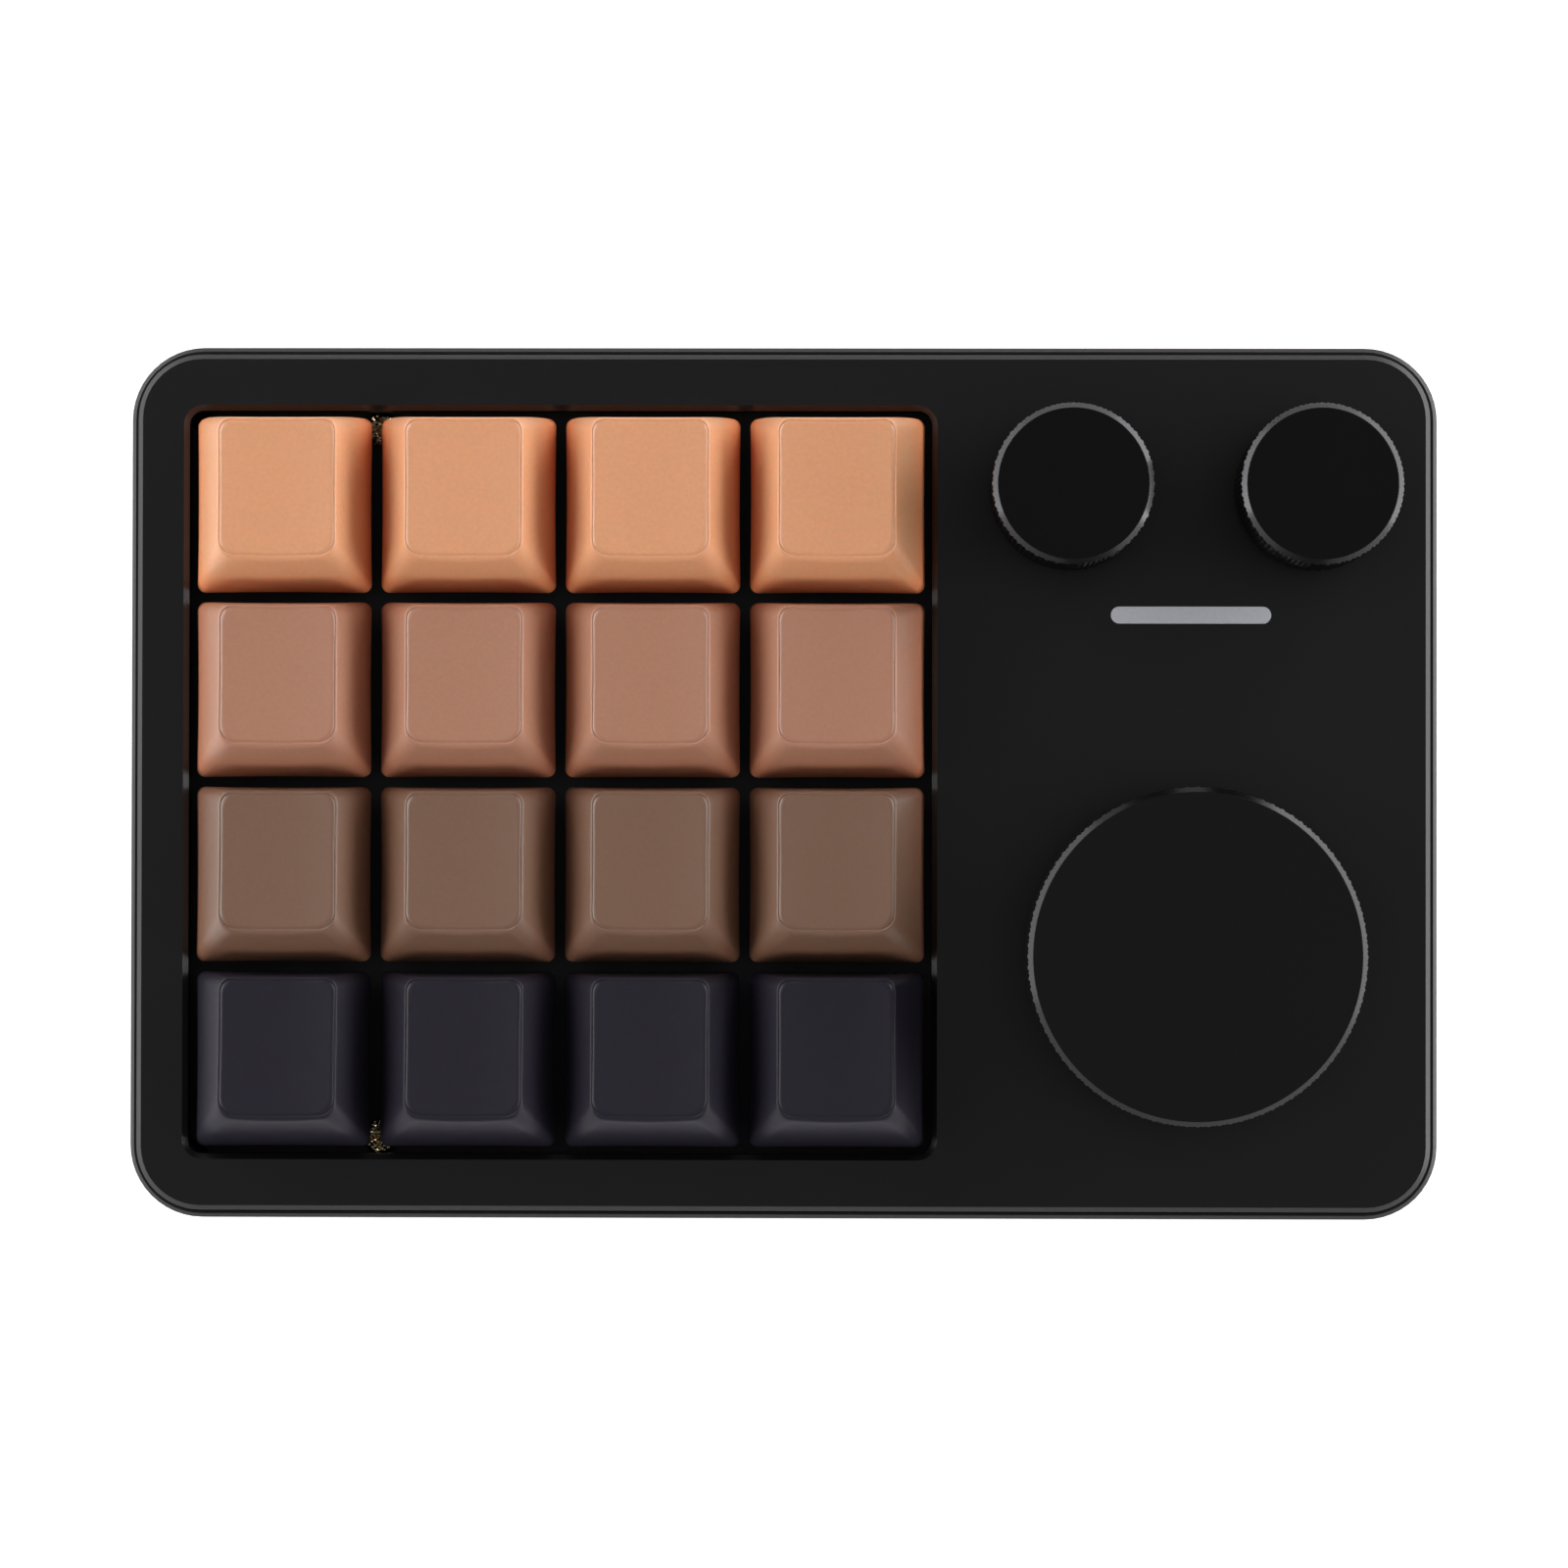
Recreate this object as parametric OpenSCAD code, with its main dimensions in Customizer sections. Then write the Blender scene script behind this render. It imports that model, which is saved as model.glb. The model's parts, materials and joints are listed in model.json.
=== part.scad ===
// Macro keypad: sixteen mechanical keys, two small knobs, one large knob and a
// light bar in a two-part machined case.
// Frame: +X right, +Y to the rear, +Z up. The origin is the middle of the
// footprint, level with the underside of the rubber feet.

/* [Case] */
// Length of the case along X
case_l = 135; // [132:0.5:150]
// Depth of the case along Y
case_w = 90; // [89:0.5:105]
// Outer corner radius of the case
case_r = 7.5; // [5:0.25:12]
// Thickness of the side walls
wall = 2.5; // [2:0.1:3.5]
// Thickness of the floor
floor_t = 3; // [2.8:0.1:5]
// Width of the lip that stands round the cover
lip_w = 0.65; // [0.5:0.05:1]
// Chamfer of the lip's outer edge
lip_edge = 0.4; // [0.1:0.05:0.45]
// Height of the cover above the lip
cover_proud = 2.1; // [1:0.1:2.6]
// Thickness of the cover
cover_t = 3.1; // [2.8:0.1:5]
// Chamfer of the cover's upper edge
cover_edge = 0.5; // [0.2:0.05:0.9]
// Rounding of the case's lower edge
base_edge = 1; // [0.3:0.1:1.5]

/* [Keys] */
// Distance between neighbouring keys
key_pitch = 19.05; // [18.9:0.05:19.4]
// Columns of keys
key_cols = 4; // [1:1:4]
// Rows of keys
key_rows = 4; // [1:1:4]
// Width of the case left of the key opening
key_margin = 6.15; // [5.5:0.05:8]
// Gap between the outermost caps and the edge of the opening
opening_gap = 0.75; // [0.5:0.05:1]
// Corner radius of the opening
opening_r = 1.5; // [0.5:0.1:2]
// Chamfer round the opening
opening_chamfer = 0.55; // [0.2:0.05:0.9]
// Depth of the cap skirts below the cover's top at rest
cap_sunk = 1.5; // [0.5:0.1:2.5]
// Travel of a key
key_travel = 4; // [2:0.1:4]

/* [Keycaps] */
// Width of a cap at its skirt
cap_w = 18.05; // [17.6:0.05:18.3]
// How far the middle of each skirt side is drawn in
cap_pinch = 0.08; // [0:0.02:0.3]
// Width of the top face of a cap
top_w = 12; // [11:0.1:13]
// Length of the top face of a cap
top_l = 14.2; // [13:0.1:14.6]
// How far the top face sits behind the middle of the skirt
top_back = 1.4; // [0:0.05:1.5]
// Corner radius at the skirt
skirt_r = 0.9; // [0.4:0.1:1.5]
// Corner radius at the top face
top_r = 1.7; // [1:0.1:3]
// How far the sides of a cap bow out, as a share of their slope
cap_bulge = 0.15; // [0:0.01:0.2]
// Height of the top face over the skirt, from the rear row to the front row
cap_heights = [9.2, 7.8, 7.15, 7.2];
// Slope of the top face in degrees, front edge up, from the rear row to the front row
cap_slopes = [0, 2, 4, 7];
// Depth of the dish in the top face
dish_depth = 0.6; // [0.2:0.05:0.8]
// Thickness of the skirt wall
cap_wall = 1.45; // [1.2:0.05:1.5]
// Thickness of the roof under the dish
cap_roof = 1.1; // [0.9:0.05:1.2]

/* [Switches] */
// Side of the square hole that a switch clips into
switch_hole = 14; // [13.9:0.05:14.1]
// Side of the flange that rests on the plate
flange_w = 15.6; // [15.2:0.1:15.8]
// Height of the housing above the plate
housing_h = 6.6; // [6.4:0.1:6.8]
// Depth of the housing below the top of the plate
housing_d = 5; // [4.8:0.1:5.2]
// Diameter of the stem's cross and length of its arms
cross_l = 4; // [3.9:0.05:4.1]
// Thickness of the cross arms
cross_t = 1.2; // [1.1:0.05:1.3]
// Height of the cross above the slider
cross_h = 3.6; // [3.4:0.1:3.8]
// Outer diameter of the spring
spring_d = 4; // [3.8:0.05:4.1]
// Thickness of the spring wire
spring_wire = 0.36; // [0.3:0.02:0.4]
// Turns of the spring
spring_turns = 5; // [4:1:8]

/* [Plate and board] */
// Thickness of the switch plate
plate_t = 1.5; // [1.2:0.1:1.6]
// Thickness of the circuit board
pcb_t = 1.6; // [1.2:0.1:2]
// Space between the board and the floor
pcb_gap = 3.6; // [3.5:0.1:5]
// Gap between the boards and the walls
board_gap = 0.5; // [0.3:0.1:1]
// Diameter of the screws' threads
screw_d = 2; // [1.6:0.1:2.2]
// Diameter of a screw head
screw_head_d = 3.6; // [3.4:0.1:3.8]
// Height of a screw head
screw_head_h = 1.4; // [1:0.1:1.6]

/* [Knobs] */
// Middle of the knobs as a share of the panel's width, from the key opening to the side
panel_share = 0.511; // [0.49:0.001:0.53]
// Distance between the small knobs as a share of the panel's width
small_share = 0.4813; // [0.45:0.0001:0.52]
// Small knobs, from the rear of the case
small_inset = 15; // [14:0.1:17]
// Diameter of a small knob
small_d = 16.5; // [14:0.1:18]
// Large knob, from the front of the case
main_inset = 27.3; // [25:0.1:29]
// Diameter of the large knob
main_d = 34.4; // [28:0.1:38]
// Height of a knob
knob_h = 12.8; // [10:0.1:15]
// Gap between a knob and the cover
knob_gap = 1; // [0.9:0.1:1.5]
// Width of the polished chamfer on a knob
knob_chamfer = 0.6; // [0.3:0.05:1]
// Distance from one tooth of the knurl to the next
knurl_pitch = 1.12; // [0.5:0.01:1.5]
// Width of a tooth's flat crest, as a share of the pitch
knurl_land = 0.4; // [0.1:0.05:0.6]
// Depth of the knurl
knurl_depth = 0.2; // [0.1:0.02:0.3]
// Plain collar below the knurl
knob_collar = 0.8; // [0.4:0.1:2]
// Diameter of an encoder shaft
shaft_d = 6; // [5.6:0.1:6.2]
// Thickness of the shaft across its flat
shaft_flat = 4.5; // [4:0.1:5]
// Travel of a knob when it is pushed
push_travel = 0.5; // [0.2:0.05:0.6]

/* [Light bar and socket] */
// Length of the light bar
bar_l = 16.5; // [12:0.1:20]
// Width of the light bar
bar_w = 1.75; // [1.5:0.05:2.2]
// Light bar, in front of the small knobs
bar_drop = 4.45; // [3:0.05:7]
// Width of the cut-out for the cable's plug
port_w = 12.6; // [11:0.1:13]
// Height of the cut-out for the cable's plug
port_h = 6.8; // [6.4:0.1:7]
// Width of the USB socket
usb_w = 8.94; // [8.8:0.02:9.1]
// Height of the USB socket
usb_h = 3.2; // [3.1:0.05:3.3]
// Length of the USB socket
usb_l = 6.5; // [6.2:0.1:7]
// How far the USB socket's mouth lies inside the rear of the case
usb_recess = 2.4; // [2.2:0.1:3]

/* [Feet] */
// Diameter of a foot
foot_d = 10; // [8:0.5:12]
// How far a foot stands out below the case
foot_h = 1.5; // [1:0.1:3]
// Depth of the seat that a foot is glued into
foot_seat = 0.8; // [0.4:0.1:1]
// Feet, from the sides of the case
foot_inset_x = 13.5; // [12.5:0.5:22]
// Feet, from the front and rear of the case
foot_inset_y = 13; // [12:0.5:19]

/* [Hidden] */
fit = 0.05;                // clearance of pieces that seat in each other
play = 0.2;                // clearance round the cover and the light bar's flange
over = 1;                  // how far a cut runs past the surface it starts or ends at
$fn = 64;

// Heights, from the table up
floor_z = foot_h + floor_t;
pcb_z = floor_z + pcb_gap;
board_top = pcb_z + pcb_t;
plate_top = board_top + housing_d;
cap_lift = 6;              // plate to skirt at rest
skirt_z = plate_top + cap_lift;
case_top = skirt_z + cap_sunk;
cover_z = case_top - cover_t;
lip_z = case_top - cover_proud;

// Outlines
inner_l = case_l - 2 * wall;
inner_w = case_w - 2 * wall;
inner_r = case_r - wall;
seat_l = case_l - 2 * lip_w;
seat_w = case_w - 2 * lip_w;
seat_r = case_r - lip_w;
cover_l = seat_l - 2 * play;
cover_w = seat_w - 2 * play;
cover_r = seat_r - play;
board_l = inner_l - 2 * board_gap;
board_w = inner_w - 2 * board_gap;
board_r = inner_r - board_gap;
opening_l = (key_cols - 1) * key_pitch + cap_w + 2 * opening_gap;
opening_w = (key_rows - 1) * key_pitch + cap_w + 2 * opening_gap;
opening_right = key_margin + opening_l - case_l / 2;
key_field_x = opening_right - opening_l / 2;

// Layout of the panel right of the keys
panel_w = case_l / 2 - opening_right;
panel_x = opening_right + panel_share * panel_w;
small_spacing = small_share * panel_w;
small_y = case_w / 2 - small_inset;
main_y = main_inset - case_w / 2;
bar_y = small_y - small_d / 2 - bar_drop;

// Case posts: pillars under the cover that the case screws reach from below
post_r = 1.8;
post_root = 0.5;           // how far a post runs into the cover
post_inset = [5.4, 5.5];
post_x = case_l / 2 - post_inset[0];
post_y = case_w / 2 - post_inset[1];
post_step = 8.65;          // middle posts, right of the key opening
post_mid_x = opening_right + post_step;
posts = [for (sx = [-post_x, post_mid_x, post_x], sy = [-1, 1]) [sx, sy * post_y]];
notch_r = post_r + 0.6;

feet = [
    for (sx = [-1, 1], sy = [-1, 1]) [sx * (case_l / 2 - foot_inset_x), sy * (case_w / 2 - foot_inset_y)]
];

// Plate screws stand in the gaps between keys and beside the knobs
boss_r = 2.2;
clamp_gap = 0.5;           // screw's middle to the edge of the next flange
clamp_low = 10;            // in front of the large knob's middle
clamp_high = 22;           // in front of the small knobs' middle
clamp_side = 3;            // from the right wall
clamp_step = 2.65;         // middle screws, right of the key opening
clamp_y = min((key_rows - 1) / 2 * key_pitch + flange_w / 2 + clamp_gap, inner_w / 2 - boss_r);
clamp_left = key_field_x - key_pitch;
clamp_mid = opening_right + clamp_step;
clamp_right = inner_l / 2 - clamp_side;
clamps = [
    [clamp_left, -clamp_y], [clamp_left, clamp_y],
    [clamp_mid, -clamp_y], [clamp_mid, clamp_y],
    [clamp_right, main_y - clamp_low], [clamp_right, small_y - clamp_high]
];
standoff_r = 1.75;
thread_d = screw_d - 2 * fit;
screw_hole = screw_d + 0.3;
head_edge = 0.6;           // rounding of a plate screw's head
head_cross = [2.2, 0.5, 0.8];
case_thread_l = 6;         // case screw above the floor
case_hole_l = 8;           // threaded hole in a post above the floor
case_head_h = 1.3;
case_head_seat = 1.6;
hex_key = [1.7, 0.8];      // diameter and depth of the hexagon socket

// Switch parts, as heights above the top of the plate
flange_h = 1;
flange_r = 1.4;
housing_half = 7.25;       // half width of the upper housing at the flange
housing_top_half = 5.2;
housing_skin = 0.9;
housing_roof = 1.1;
body_w = switch_hole - 2 * fit;
body_skin = 1;
body_floor = 1.2;
body_in = body_w - 2 * body_skin;
body_z = body_floor - housing_d;
centre_post_r = 2;
centre_post_l = 3.3;
pole_r = 0.9;
pole_l = 2.9;
pole_hole_r = 1.2;
slider_l = 7;
slider_w = 5.4;
slider_gap = 0.8;          // slider above the housing's floor when pressed
slider_bottom = body_z + slider_gap + key_travel;
slider_bore_r = spring_d / 2 + 0.25;
slider_roof = 1.7;
ear_l = 9;
ear_w = 2;
ear_gap = 0.2;             // ears under the housing's roof at rest
window_l = slider_l + 0.8;
window_w = slider_w + 0.9;
light_window = [6, 1.6, 3.2];
// Feet of the two contact pins, from the middle of a switch
pins = [[-3.81, 2.54], [2.54, 5.08]];
pin_w = 1.2;
pin_t = 0.3;
pin_seat = 0.02;           // contact strip above the housing's floor
strip_h = 0.28;
leaf_y = 5.3;
leaf_top = -0.6;
side_pin_x = 5.08;
side_pin_r = 0.85;
side_pin_l = 2.6;
hole_gap = 0.1;            // clearance of the posts and pins in the board
socket_r = 1.35;           // sleeve of a hot-swap socket, round each contact pin
swap_h = 1.8;
swap_bore_r = 1;           // bore that a contact pin passes

// Cap parts, as heights above the skirt
cap_post_r = 2.75;
cap_post_z = housing_h - cap_lift + 0.1;
cap_steps = 5;
cross_top = housing_h + cross_h - cap_lift;
cap_corner_n = 5;
dish_over = 0.3;           // how far the dish runs past the edges of the top face

// Encoder parts, as heights above the board
enc_l = 11.7;
enc_w = 12;
enc_gap = 0.7;             // clearance of the encoders in the plate
enc_body_h = 5.5;
enc_frame_t = 0.5;
enc_bush_d = 7;
enc_bush_top = case_top - board_top;
enc_pocket_r = 2.7;
enc_pocket_z = 0.3;
enc_wheel_r = 4.5;
enc_wheel_z = 2.4;
enc_wheel_h = 2;
enc_room_r = 4.9;
enc_room_z = 1.2;
enc_room_top = 5.1;
enc_neck_r = shaft_d / 2 + 0.4;
enc_hole_r = enc_bush_d / 2 + 0.5;
plunger_r = enc_pocket_r - 0.3;
plunger_z = enc_pocket_z + push_travel + 0.3;
shaft_foot = 2;
shaft_grip = 10;           // length of shaft inside a knob
detents = 30;
detent_r = 0.25;

knob_z = case_top + knob_gap;
knob_top = knob_z + knob_h;
knob_recess = 2;
knob_rim = 2;
hub_r = 5;
shaft_top = knob_z + shaft_grip - board_top;
bore_top = knob_z + shaft_grip + 0.3;

// Light bar parts
bar_flange = 1;
bar_gap = 0.5;             // clearance of the light bar in the plate
bar_flange_t = 1;
led_count = 5;
led_pitch = 3.5;
led = [2, 1.6];
led_h = 0.8;
led_eye = [0.6, 0.2];      // radius and depth of the lens
led_gap = 1;               // light bar above the lamps
bar_foot = board_top + led_h + led_gap;

// Controller chip, under the board
chip_y = (small_y + main_y) / 2 - 2;
chip_w = 7;
chip_h = 0.8;
chip_legs = 5;             // legs on each side of a side's middle
leg_pitch = 0.5;
leg = [0.24, 0.15];        // width and thickness
leg_reach = 0.6;

// USB socket
usb_shell = 0.35;
usb_back = 0.2;
usb_y = case_w / 2 - usb_recess;
usb_z = board_top + usb_h / 2;
usb_tongue = [6.7, 4.6, 0.7];

key_list = [for (r = [1 : key_rows], c = [1 : key_cols]) [r, c]];
knob_names = ["left", "right", "main"];
knob_at = [
    [panel_x - small_spacing / 2, small_y],
    [panel_x + small_spacing / 2, small_y],
    [panel_x, main_y]
];
knob_ds = [small_d, small_d, main_d];

function key_at(r, c) = [
    key_field_x + (c - (key_cols + 1) / 2) * key_pitch,
    ((key_rows + 1) / 2 - r) * key_pitch
];
function key_name(kind, k) = str(kind, "_r", k[0], "c", k[1]);

anodised = [0.09, 0.09, 0.1];
cap_colours = [[0.84, 0.61, 0.46], [0.65, 0.48, 0.4], [0.49, 0.38, 0.32], [0.18, 0.17, 0.2]];

// ---------- shapes that the pieces share ----------

// Rectangle with round corners, centred; a slot when r is half of w
module round_rect(l, w, r) {
    square([l - 2 * r, w], center = true);
    if (w > 2 * r) square([l, w - 2 * r], center = true);
    for (sx = [-1, 1], sy = [-1, 1])
        translate([sx * (l / 2 - r), sy * (w / 2 - r)]) circle(r);
}

// Upright block with round corners
module round_block(l, w, r, z0, z1) {
    translate([0, 0, z0]) linear_extrude(z1 - z0) round_rect(l, w, r);
}

// Rounded lower end of a half profile that reaches from the middle out to x
module round_foot(x, z0, e) {
    translate([0, z0]) square([x - e, e]);
    intersection() {
        translate([x - e, z0 + e]) circle(e);
        translate([x - e, z0]) square(e);
    }
}

// Half profile, from the middle out to x, with its lower and upper outer edges rounded
module edge_profile(x, z0, z1, low_e, top_e) {
    translate([0, z0 + low_e]) square([x, z1 - z0 - low_e - top_e]);
    translate([0, z1 - top_e]) square([x - top_e, top_e]);
    if (low_e > 0) round_foot(x, z0, low_e);
    intersection() {
        translate([x - top_e, z1 - top_e]) circle(top_e);
        translate([x - top_e, z1 - top_e]) square(top_e);
    }
}

// The same with its upper edge chamfered
module rim_profile(x, z0, z1, low_e, top_e) {
    polygon([[0, z0 + low_e], [x, z0 + low_e], [x, z1 - top_e], [x - top_e, z1], [0, z1]]);
    if (low_e > 0) round_foot(x, z0, low_e);
}

// Block with round corners, rounded along its lower edge and chamfered along its upper one
module soft_block(l, w, r, z0, z1, low_e, top_e) {
    for (sx = [-1, 1], sy = [-1, 1])
        translate([sx * (l / 2 - r), sy * (w / 2 - r), 0])
            rotate_extrude() rim_profile(r, z0, z1, low_e, top_e);
    for (m = [0, 1])
        mirror([m, 0, 0]) translate([0, w / 2 - r, 0]) rotate([90, 0, 0])
            linear_extrude(w - 2 * r) rim_profile(l / 2, z0, z1, low_e, top_e);
    for (m = [0, 1])
        mirror([0, m, 0]) rotate([90, 0, 90]) translate([0, 0, -(l / 2 - r)])
            linear_extrude(l - 2 * r) rim_profile(w / 2, z0, z1, low_e, top_e);
}

module at_each(places) {
    for (p = places) translate([p[0], p[1], 0]) children();
}

module at_each_key() {
    for (k = key_list) {
        p = key_at(k[0], k[1]);
        translate([p[0], p[1], plate_top]) children();
    }
}

// Upright cylinder from z0 to z1
module rod(r, z0, z1) {
    translate([0, 0, z0]) cylinder(r = r, h = z1 - z0);
}

// Upright box from z0 to z1, centred
module bar(l, w, z0, z1) {
    translate([-l / 2, -w / 2, z0]) cube([l, w, z1 - z0]);
}

// Pyramid stump: half widths h0 at z0 and h1 at z1, with true flat faces
module stump(h0, z0, h1, z1) {
    intersection() {
        rotate([90, 0, 0]) translate([0, 0, -h0])
            linear_extrude(2 * h0) polygon([[-h0, z0], [h0, z0], [h1, z1], [-h1, z1]]);
        rotate([90, 0, 90]) translate([0, 0, -h0])
            linear_extrude(2 * h0) polygon([[-h0, z0], [h0, z0], [h1, z1], [-h1, z1]]);
    }
}

// ---------- case ----------

module case_post() {
    difference() {
        rod(post_r, floor_z, cover_z + post_root);
        rod(screw_d / 2, floor_z - over, floor_z + case_hole_l);
    }
}

// Half profile of a flared cut: x wide at height z, from dip below it to rise above it
module flared_half(x, z, dip, rise) {
    polygon([[0, z - dip], [x - dip, z - dip], [x + rise, z + rise], [0, z + rise]]);
}

// Cut with round corners that widens as much as it rises: l by w at height z
module flared_cut(l, w, r, z, dip, rise) {
    for (sx = [-1, 1], sy = [-1, 1])
        translate([sx * (l / 2 - r), sy * (w / 2 - r), z - dip]) rotate(atan2(-sy, -sx))
            cylinder(r1 = r - dip, r2 = r + rise, h = dip + rise);
    for (m = [0, 1])
        mirror([m, 0, 0]) translate([0, w / 2 - r, 0]) rotate([90, 0, 0])
            linear_extrude(w - 2 * r) flared_half(l / 2, z, dip, rise);
    for (m = [0, 1])
        mirror([0, m, 0]) rotate([90, 0, 90]) translate([0, 0, r - l / 2])
            linear_extrude(l - 2 * r) flared_half(w / 2, z, dip, rise);
}

module key_opening() {
    c = opening_chamfer;
    translate([key_field_x, 0, 0]) {
        round_block(opening_l, opening_w, opening_r, cover_z - over, case_top + over);
        flared_cut(opening_l, opening_w, opening_r, case_top - c, c / 2, 1.2 * c);
    }
}

module top_case() {
    color(anodised) {
        difference() {
            soft_block(cover_l, cover_w, cover_r, cover_z, case_top, 0, cover_edge);
            key_opening();
            at_each(knob_at) rod(enc_hole_r, cover_z - over, case_top + over);
            translate([panel_x, bar_y, 0])
                round_block(bar_l + 2 * fit, bar_w + 2 * fit, bar_w / 2 + fit,
                            cover_z - over, case_top + over);
        }
        at_each(posts) case_post();
    }
}

module port() {
    translate([panel_x, case_w / 2 + over, usb_z]) rotate([90, 0, 0])
        linear_extrude(wall + 2 * over) round_rect(port_w, port_h, port_h / 2 - fit);
}

module bottom_case() {
    color(anodised)
    difference() {
        union() {
            difference() {
                soft_block(case_l, case_w, case_r, foot_h, lip_z, base_edge, lip_edge);
                round_block(inner_l, inner_w, inner_r, floor_z, case_top);
                round_block(seat_l, seat_w, seat_r, cover_z, case_top);
            }
            at_each(clamps) rod(boss_r, floor_z - 0.5, pcb_z);
        }
        at_each(clamps) rod(thread_d / 2 + fit, floor_z - over, pcb_z + over);
        at_each(posts) {
            rod(screw_hole / 2, foot_h - over, floor_z + over);
            rod(screw_head_d / 2 + play, foot_h - over, foot_h + case_head_seat);
        }
        at_each(feet)
            rod(foot_d / 2 + fit, foot_h - over, foot_h + foot_seat);
        port();
    }
}

module rubber_feet() {
    color([0.12, 0.12, 0.12])
    at_each(feet)
        rotate_extrude() edge_profile(foot_d / 2, 0, foot_h + foot_seat, 0.4, 0.05);
}

module case_screws() {
    color([0.25, 0.25, 0.27])
    at_each(posts) {
        head_z = foot_h + case_head_seat - case_head_h;
        difference() {
            rod(screw_head_d / 2, head_z, head_z + case_head_h);
            translate([0, 0, head_z - over]) cylinder(d = hex_key[0], h = hex_key[1] + over, $fn = 6);
        }
        rod(thread_d / 2, head_z + case_head_h - 0.1, floor_z + case_thread_l);
    }
}

module light_bar() {
    color([0.86, 0.87, 0.9])
    translate([panel_x, bar_y, 0]) {
        round_block(bar_l, bar_w, bar_w / 2, bar_foot, case_top);
        round_block(bar_l + 2 * bar_flange, bar_w + 2 * bar_flange, bar_w / 2 + bar_flange,
                    cover_z - bar_flange_t, cover_z);
    }
}

// ---------- plate, board and what they carry ----------

// Outline of the plate and the board, notched round the case posts
module board_outline() {
    difference() {
        round_rect(board_l, board_w, board_r);
        for (p = posts) translate(p) {
            circle(notch_r);
            out = p[1] > 0 ? 1 : -1;
            translate([-notch_r, out > 0 ? 0 : -2 * notch_r]) square([2 * notch_r, 2 * notch_r]);
            if (abs(p[0]) == post_x)
                translate([p[0] > 0 ? 0 : -2 * notch_r, out > 0 ? -notch_r : -2 * notch_r])
                    square([2 * notch_r, 3 * notch_r]);
        }
    }
}

module switch_plate() {
    color([0.1, 0.1, 0.11])
    translate([0, 0, plate_top - plate_t])
    linear_extrude(plate_t) difference() {
        board_outline();
        for (k = key_list) translate(key_at(k[0], k[1])) square(switch_hole, center = true);
        for (p = clamps) translate(p) circle(screw_hole / 2);
        for (p = knob_at) translate(p)
            square([enc_l + 2 * enc_gap, enc_w + 2 * enc_gap], center = true);
        translate([panel_x, bar_y])
            round_rect(bar_l + 2 * bar_gap, bar_w + 2 * bar_gap, bar_w / 2 + bar_gap);
    }
}

module pcb() {
    color([0.05, 0.12, 0.1])
    translate([0, 0, pcb_z])
    linear_extrude(pcb_t) difference() {
        board_outline();
        for (k = key_list) translate(key_at(k[0], k[1])) {
            circle(centre_post_r + hole_gap);
            for (p = pins) translate(p) circle(socket_r + hole_gap);
            for (s = [-1, 1]) translate([s * side_pin_x, 0]) circle(side_pin_r + hole_gap);
        }
        for (p = clamps) translate(p) circle(screw_hole / 2);
    }
}

module plate_standoffs() {
    color("goldenrod")
    at_each(clamps) difference() {
        rod(standoff_r, board_top, plate_top - plate_t);
        rod(screw_hole / 2, board_top - over, plate_top);
    }
}

module plate_screws() {
    top = plate_top + screw_head_h;
    color([0.8, 0.68, 0.42])
    at_each(clamps) {
        difference() {
            rotate_extrude() edge_profile(screw_head_d / 2, plate_top, top, 0, head_edge);
            for (turn = [0, 90]) rotate(turn)
                bar(head_cross[0], head_cross[1], top - head_cross[2], top + over);
        }
        rod(thread_d / 2, floor_z + 0.5, plate_top + 0.1);
    }
}

module controller_chip() {
    foot_z = pcb_z - leg[1];
    color([0.15, 0.15, 0.16])
    translate([panel_x, chip_y, 0]) {
        bar(chip_w, chip_w, foot_z - chip_h, foot_z);
        for (turn = [0 : 90 : 270], i = [-chip_legs : chip_legs])
            rotate(turn) translate([chip_w / 2 - leg[1], i * leg_pitch - leg[0] / 2, foot_z])
                cube([leg_reach + leg[1], leg[0], leg[1]]);
    }
}

module bar_leds() {
    color([0.95, 0.93, 0.8])
    for (i = [0 : led_count - 1])
        translate([panel_x + (i - (led_count - 1) / 2) * led_pitch, bar_y, board_top]) difference() {
            bar(led[0], led[1], 0, led_h);
            rod(led_eye[0], led_h - led_eye[1], led_h + over);
        }
}

module usb_socket() {
    color([0.75, 0.76, 0.78])
    translate([panel_x, usb_y, usb_z]) {
        rotate([90, 0, 0]) difference() {
            linear_extrude(usb_l) round_rect(usb_w, usb_h, usb_h / 2 - fit);
            translate([0, 0, -over]) linear_extrude(usb_l + over - usb_back)
                round_rect(usb_w - 2 * usb_shell, usb_h - 2 * usb_shell, usb_h / 2 - usb_shell - fit);
        }
        translate([-usb_tongue[0] / 2, usb_back / 2 - usb_l, -usb_tongue[2] / 2]) cube(usb_tongue);
    }
}

// ---------- switches ----------

module housing_upper() {
    difference() {
        stump(housing_half, flange_h, housing_top_half, housing_h);
        stump(housing_half - housing_skin, flange_h - 0.01,
              housing_top_half - housing_skin + 0.4, housing_h - housing_roof);
        bar(window_l, window_w, housing_h - 2 * housing_roof, housing_h + over);
        // light window at the front of the housing
        translate([0, -housing_top_half, 0])
            bar(light_window[0], light_window[1], housing_h - light_window[2], housing_h + over);
    }
}

module housing_lower() {
    difference() {
        union() {
            bar(body_w, body_w, -housing_d, flange_h);
            round_block(flange_w, flange_w, flange_r, 0, flange_h);
            rod(centre_post_r, -housing_d - centre_post_l, -housing_d + 0.1);
            for (s = [-1, 1]) translate([s * side_pin_x, 0, 0])
                rod(side_pin_r, -housing_d - side_pin_l, -housing_d + 0.1);
        }
        bar(body_in, body_in, body_z, flange_h + over);
        rod(pole_hole_r, body_z - centre_post_l, 0);
        for (p = pins) translate(p) bar(pin_w + 2 * fit, pin_t + 2 * fit, -housing_d - over, body_z + over);
    }
}

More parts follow.
